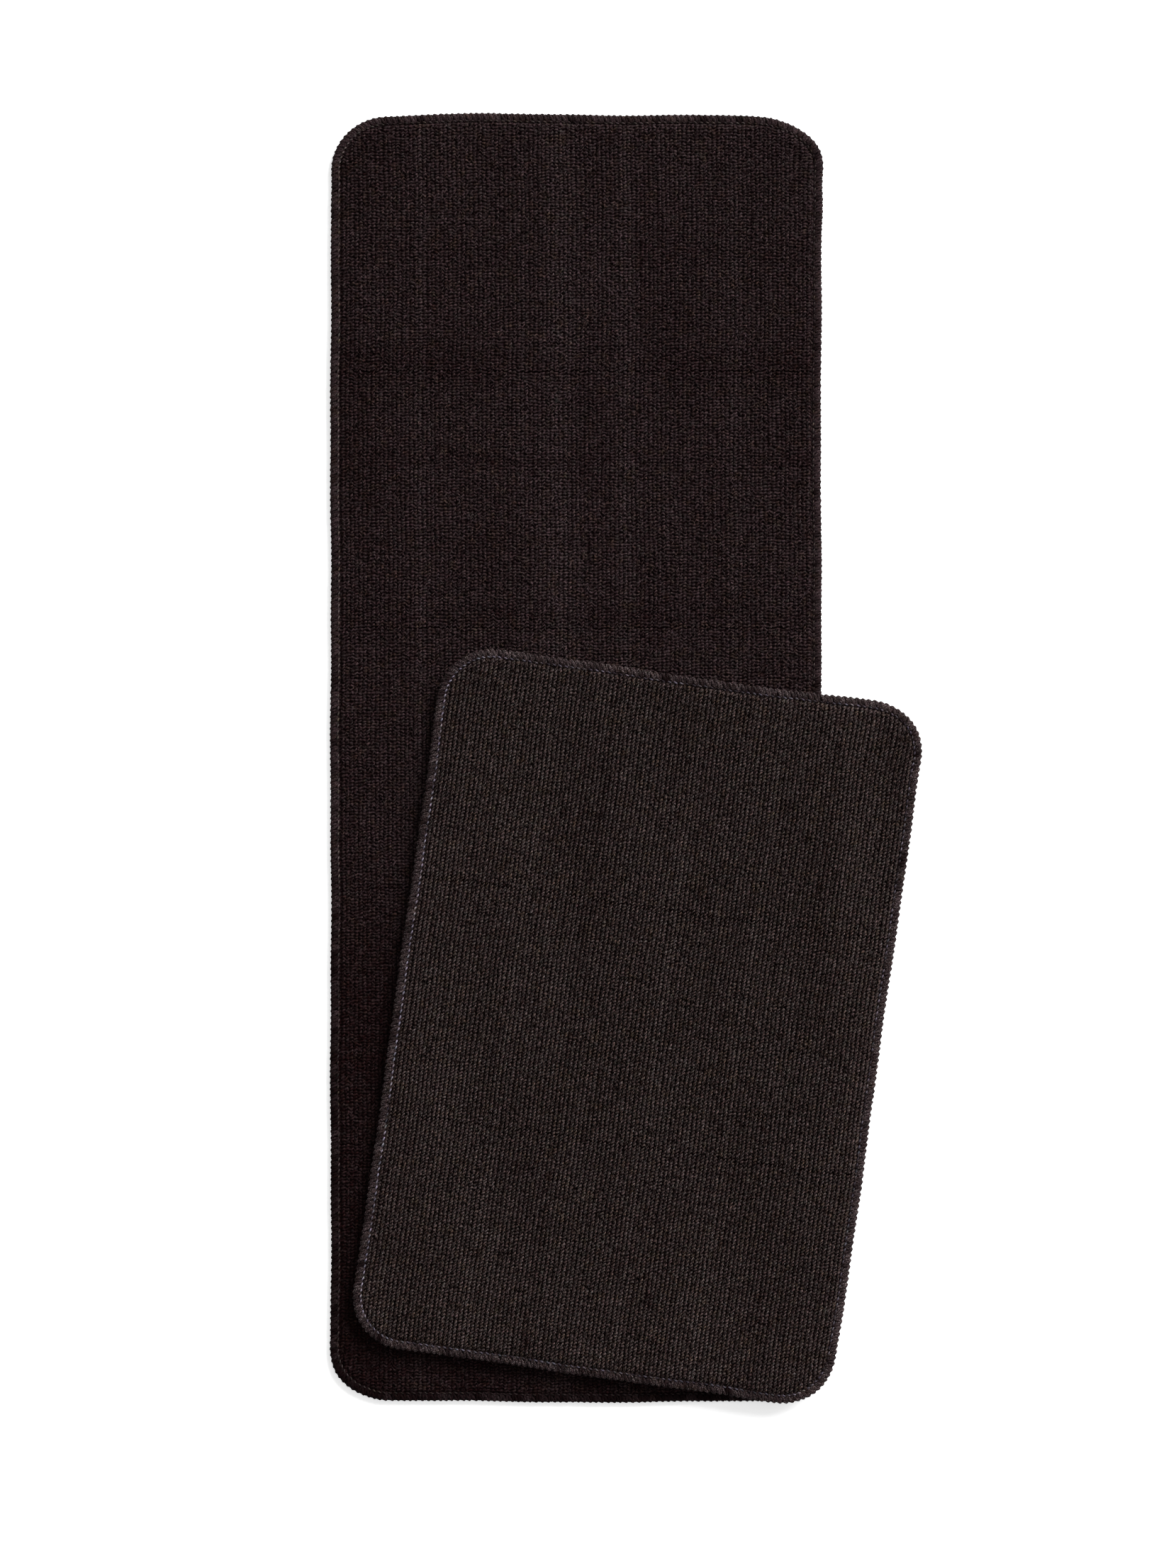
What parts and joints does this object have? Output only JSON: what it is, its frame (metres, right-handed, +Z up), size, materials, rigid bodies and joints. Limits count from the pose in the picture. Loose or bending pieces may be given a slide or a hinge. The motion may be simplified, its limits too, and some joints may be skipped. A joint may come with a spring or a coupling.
{
  "type": "loop-pile floor mat set",
  "caption": "Dark loop-pile textile mats with rounded corners, overlocked edges and rubber backing: a long runner lying flat with a smaller mat lying loose and turned across one end.",
  "frame": {"origin": "centre of the runner's underside, on the floor", "axes": "+Y along the runner, away from the end that the small mat lies on; +X across the runner, towards the long edge that the small mat droops over; +Z up"},
  "size_m": [0.5498, 1.1977, 0.0143],
  "materials": {
    "backing_rubber": "matte",
    "latex": "matte",
    "woven_backing": "matte",
    "runner_pile": "matte",
    "small_mat_pile": "matte",
    "runner_edge_yarn": "matte",
    "small_mat_edge_yarn": "matte",
    "needle_thread": "satin"
  },
  "bodies": {
    "runner": {"runner_rubber_backing": "backing_rubber", "runner_latex_coat": "latex", "runner_primary_backing": "woven_backing", "runner_loop_pile": "runner_pile", "runner_lower_looper_yarn": "runner_edge_yarn", "runner_upper_looper_yarn": "runner_edge_yarn", "runner_needle_thread": "needle_thread"},
    "small_mat": {"small_mat_rubber_backing": "backing_rubber", "small_mat_latex_coat": "latex", "small_mat_primary_backing": "woven_backing", "small_mat_loop_pile": "small_mat_pile", "small_mat_lower_looper_yarn": "small_mat_edge_yarn", "small_mat_upper_looper_yarn": "small_mat_edge_yarn", "small_mat_needle_thread": "needle_thread"}
  },
  "joints": [
    {"name": "small_mat_lift", "type": "slide", "parent": "runner", "child": "small_mat", "axis": [0, 0, 1], "range_m": [0, 0.25]}
  ]
}
